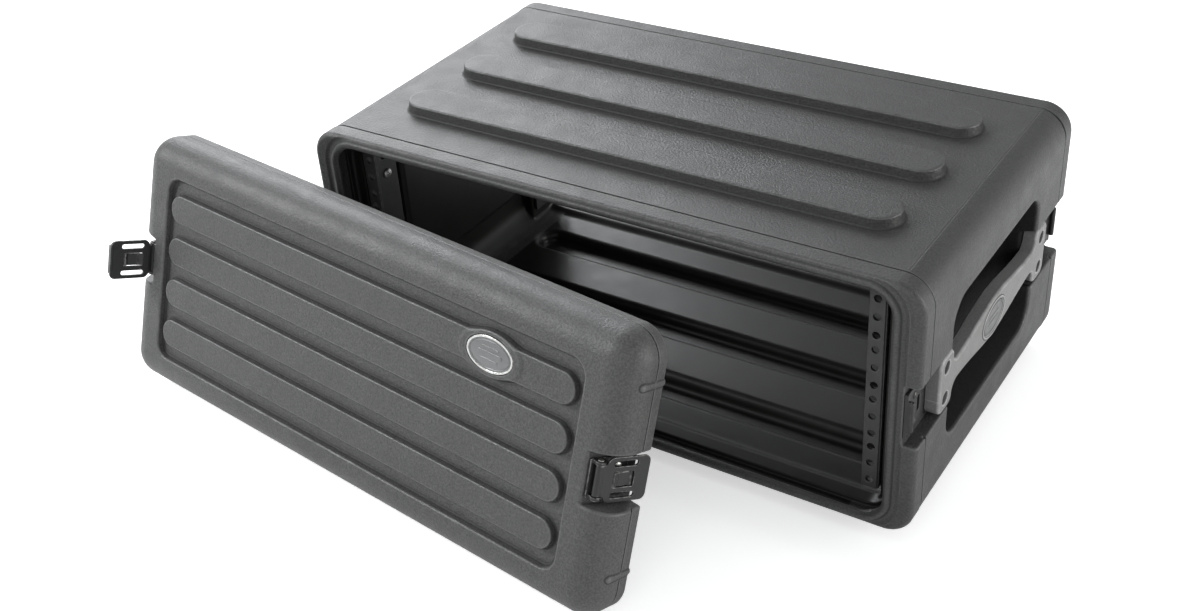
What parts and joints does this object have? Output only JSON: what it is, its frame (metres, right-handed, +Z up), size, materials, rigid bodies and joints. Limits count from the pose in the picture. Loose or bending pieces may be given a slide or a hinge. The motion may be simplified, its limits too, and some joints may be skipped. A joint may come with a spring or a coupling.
{
  "type": "equipment rack case",
  "caption": "Moulded 19-inch rack case with ribbed walls, recessed side handles and a detachable ribbed front lid closed by side latches.",
  "frame": {"origin": "on the floor, under the middle of the case body, at the middle of its bottom ribs; the case stands on these ribs at Z = 0", "axes": "+X across the width to the viewer's right when facing the front opening, +Y from the front opening to the rear opening, +Z up"},
  "size_m": [0.7041, 0.5059, 0.242],
  "materials": {
    "moulded_shell": "rotationally moulded dark grey polyethylene with a fine orange-peel texture",
    "moulded_lid": "rotationally moulded dark grey polyethylene with a fine orange-peel texture",
    "rail_steel": "satin black powder coat",
    "zinc_screw": "bright zinc plating",
    "handle_rubber": "grey moulded handle with a soft, lightly textured skin",
    "black_bolt": "black oxide",
    "badge_inlay": "satin blank badge plate",
    "keeper_steel": "black powder coat",
    "latch_steel": "black powder coat with worn edges",
    "gasket_rubber": "matt black closed-cell rubber"
  },
  "bodies": {
    "root": {"body_shell": "moulded_shell", "rack_rail_front_left": "rail_steel", "rail_screw_front_left_lower": "zinc_screw", "rail_screw_front_left_upper": "zinc_screw", "rack_rail_front_right": "rail_steel", "rail_screw_front_right_lower": "zinc_screw", "rail_screw_front_right_upper": "zinc_screw", "rack_rail_rear_left": "rail_steel", "rail_screw_rear_left_lower": "zinc_screw", "rail_screw_rear_left_upper": "zinc_screw", "rack_rail_rear_right": "rail_steel", "rail_screw_rear_right_lower": "zinc_screw", "rail_screw_rear_right_upper": "zinc_screw", "handle_left": "handle_rubber", "handle_badge_left": "badge_inlay", "handle_bolt_left_1": "black_bolt", "handle_bolt_left_2": "black_bolt", "handle_bolt_left_3": "black_bolt", "handle_bolt_left_4": "black_bolt", "handle_right": "handle_rubber", "handle_badge_right": "badge_inlay", "handle_bolt_right_1": "black_bolt", "handle_bolt_right_2": "black_bolt", "handle_bolt_right_3": "black_bolt", "handle_bolt_right_4": "black_bolt", "keeper_front_left": "keeper_steel", "keeper_rivet_front_left_lower": "black_bolt", "keeper_rivet_front_left_upper": "black_bolt", "keeper_front_right": "keeper_steel", "keeper_rivet_front_right_lower": "black_bolt", "keeper_rivet_front_right_upper": "black_bolt", "keeper_rear_left": "keeper_steel", "keeper_rivet_rear_left_lower": "black_bolt", "keeper_rivet_rear_left_upper": "black_bolt", "keeper_rear_right": "keeper_steel", "keeper_rivet_rear_right_lower": "black_bolt", "keeper_rivet_rear_right_upper": "black_bolt"},
    "lid": {"lid_shell": "moulded_lid", "lid_gasket": "gasket_rubber", "lid_badge": "badge_inlay", "latch_base_left": "latch_steel", "latch_rivet_left_1": "zinc_screw", "latch_rivet_left_2": "zinc_screw", "latch_arm_pin_left": "zinc_screw", "latch_base_right": "latch_steel", "latch_rivet_right_1": "zinc_screw", "latch_rivet_right_2": "zinc_screw", "latch_arm_pin_right": "zinc_screw"},
    "latch_arm_left": {"latch_arm_left": "latch_steel", "latch_trigger_pin_left": "zinc_screw"},
    "latch_trigger_left": {"latch_trigger_left": "latch_steel"},
    "latch_arm_right": {"latch_arm_right": "latch_steel", "latch_trigger_pin_right": "zinc_screw"},
    "latch_trigger_right": {"latch_trigger_right": "latch_steel"}
  },
  "joints": [
    {"name": "lid_draw_off", "type": "slide", "parent": "root", "child": "lid", "axis": [0, -1, 0], "range_m": [0, 0.25]},
    {"name": "latch_arm_right_hinge", "type": "hinge", "parent": "lid", "child": "latch_arm_right", "pos_m": [0.10408, -0.31231, 0.1168], "axis": [-0.0444, -0.3325, -0.9421], "range_deg": [0, 150]},
    {"name": "latch_arm_left_hinge", "type": "hinge", "parent": "lid", "child": "latch_arm_left", "pos_m": [-0.40753, -0.24404, 0.1168], "axis": [0.0444, 0.3325, 0.9421], "range_deg": [-145, 5]},
    {"name": "latch_trigger_right_hinge", "type": "hinge", "parent": "latch_arm_right", "child": "latch_trigger_right", "pos_m": [0.11616, -0.29078, 0.10863], "axis": [0.0444, 0.3325, 0.9421], "range_deg": [0, 25]},
    {"name": "latch_trigger_left_hinge", "type": "hinge", "parent": "latch_arm_left", "child": "latch_trigger_left", "pos_m": [-0.41709, -0.2667, 0.12524], "axis": [-0.0444, -0.3325, -0.9421], "range_deg": [0, 25]}
  ]
}
